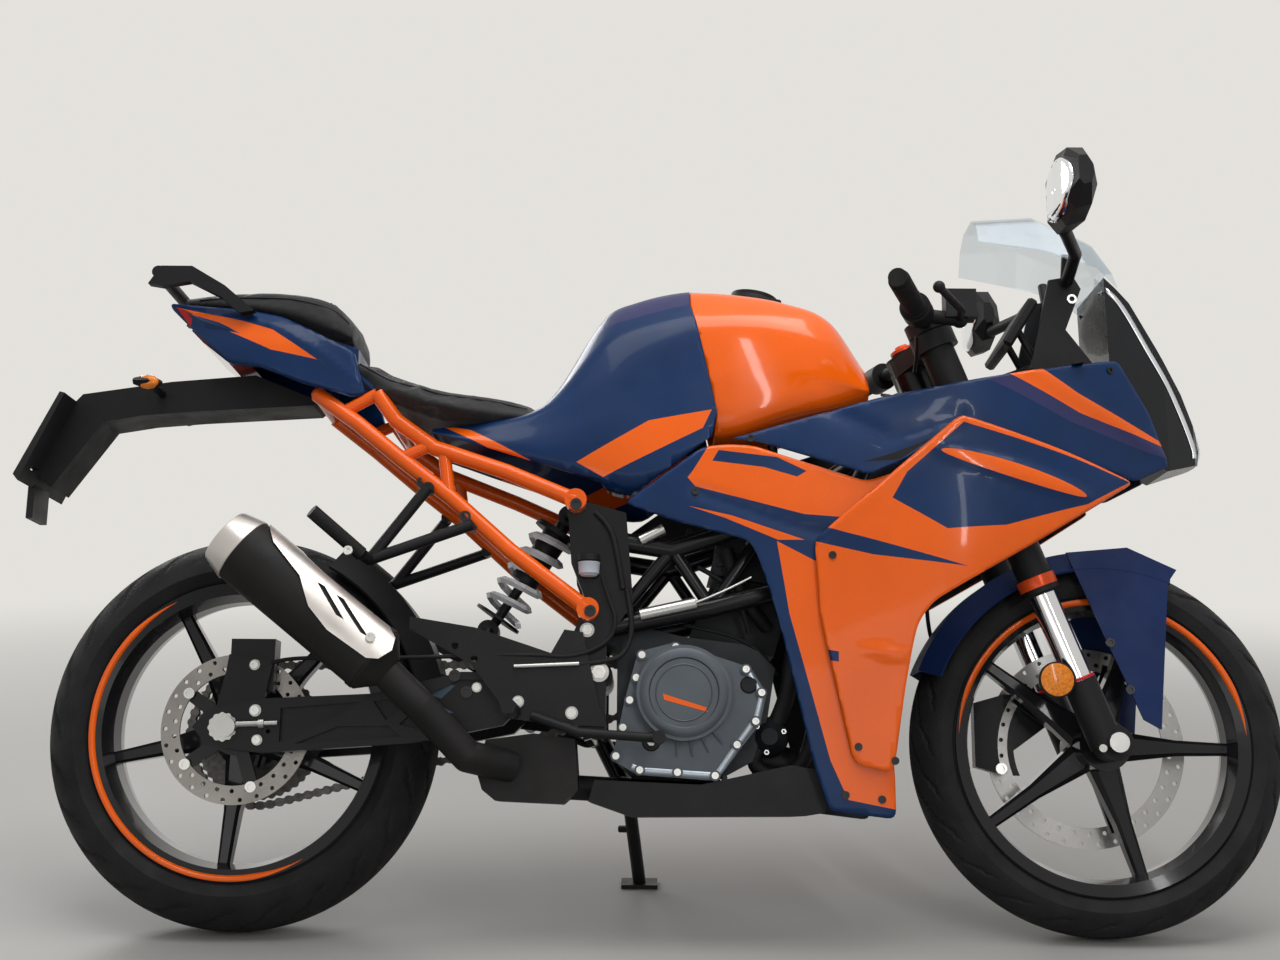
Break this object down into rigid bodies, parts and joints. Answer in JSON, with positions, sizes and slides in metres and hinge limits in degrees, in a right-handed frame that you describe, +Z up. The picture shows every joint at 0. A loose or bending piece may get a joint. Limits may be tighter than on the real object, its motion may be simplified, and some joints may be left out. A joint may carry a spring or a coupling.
{
  "type": "sport bike",
  "caption": "Small faired road motorcycle on its side stand, with steering, turning wheels, folding stand and filler lid.",
  "frame": {"origin": "on the ground, under the middle of the leaning bike's bounding box", "axes": "+X forward, +Y to the rider's left, +Z up; the bike leans 14.1 degrees to +Y on its stand"},
  "size_m": [2.0044, 0.8346, 1.2006],
  "materials": {
    "black_frame": "satin black paint",
    "orange_frame": "gloss orange powder coat",
    "black_cast": "matt black cast metal",
    "black_gloss_metal": "gloss black cast wheel",
    "black_gloss": "gloss black",
    "dark_metal": "dark grey metal",
    "steel": "plain steel",
    "disc_steel": "ground steel",
    "chrome": "hard chrome",
    "engine_grey": "painted grey casting",
    "cover_grey": "grey casting",
    "radiator_black": "black fins",
    "white_spring": "white coil",
    "orange_body": "gloss orange",
    "navy_body": "gloss navy",
    "black_plastic": "grained black",
    "seat_black": "black seat cover",
    "red_lens": "red lens",
    "amber_lens": "amber lens",
    "plate_blank": "blank plate",
    "lamp_clear": "clear lamp cover",
    "clear_screen": "clear screen",
    "rubber": "black rubber",
    "tyre": "road tyre"
  },
  "bodies": {
    "frame": {"fuel_tank": "orange_body", "inner_fairing_right": "navy_body", "side_fairing_right": "orange_body", "inner_fairing_left": "navy_body", "side_fairing_left": "orange_body", "upper_fairing_right": "navy_body", "upper_fairing_left": "navy_body", "main_frame": "black_frame", "subframe": "orange_frame", "swingarm": "black_cast", "rear_axle": "steel", "engine_case": "engine_grey", "engine_top": "engine_grey", "clutch_cover": "cover_grey", "radiator": "radiator_black", "exhaust_pipe": "steel", "silencer": "black_cast", "silencer_shield": "steel", "shock_absorber": "dark_metal", "shock_spring": "white_spring", "tank_cover": "navy_body", "tail_fairing": "navy_body", "rider_seat": "seat_black", "pillion_seat": "seat_black", "tail_lamp": "red_lens", "grab_rail": "black_plastic", "number_plate": "plate_blank", "plate_arm": "black_plastic", "indicators": "amber_lens", "belly_pan": "black_plastic", "headlamp": "lamp_clear", "windscreen": "clear_screen", "cockpit_bracket": "black_frame", "dash": "black_plastic", "mirrors": "black_gloss", "footrests": "dark_metal", "pillion_footrests": "black_frame", "brake_cup": "black_plastic", "chain": "steel", "chain_guard": "black_plastic", "rear_caliper": "black_cast"},
    "steering": {"steering_yokes": "dark_metal", "fork_outer_tubes": "black_gloss", "fork_sliders": "chrome", "fork_legs": "black_cast", "handlebars": "black_frame", "grips": "rubber", "front_axle": "steel", "front_fender": "navy_body", "front_caliper": "black_cast"},
    "front_wheel": {"front_rim": "black_gloss_metal", "front_tyre": "tyre", "front_disc": "disc_steel"},
    "rear_wheel": {"rear_rim": "black_gloss_metal", "rear_tyre": "tyre", "rear_disc": "disc_steel", "rear_sprocket": "steel"},
    "side_stand": {"side_stand": "dark_metal"},
    "filler_lid": {"filler_lid": "dark_metal"}
  },
  "joints": [
    {"name": "steering_turn", "type": "hinge", "parent": "frame", "child": "steering", "pos_m": [0.67658, -0.18375, 0.27427], "axis": [-0.3584, 0.2274, 0.9055], "range_deg": [-30, 30]},
    {"name": "front_wheel_spin", "type": "hinge", "parent": "steering", "child": "front_wheel", "pos_m": [0.70925, -0.18069, 0.28643], "axis": [0, 0.9699, -0.2436], "continuous": true},
    {"name": "rear_wheel_spin", "type": "hinge", "parent": "frame", "child": "rear_wheel", "pos_m": [-0.63375, -0.17752, 0.29904], "axis": [0, 0.9699, -0.2436], "continuous": true},
    {"name": "side_stand_fold", "type": "hinge", "parent": "frame", "child": "side_stand", "pos_m": [-0.03425, -0.05878, 0.21354], "axis": [0.2039, 0.9027, 0.3789], "range_deg": [0, 87.1]},
    {"name": "filler_lid_open", "type": "hinge", "parent": "frame", "child": "filler_lid", "pos_m": [0.21664, -0.00263, 0.99534], "axis": [0, 0.9699, -0.2436], "range_deg": [0, 85]}
  ]
}
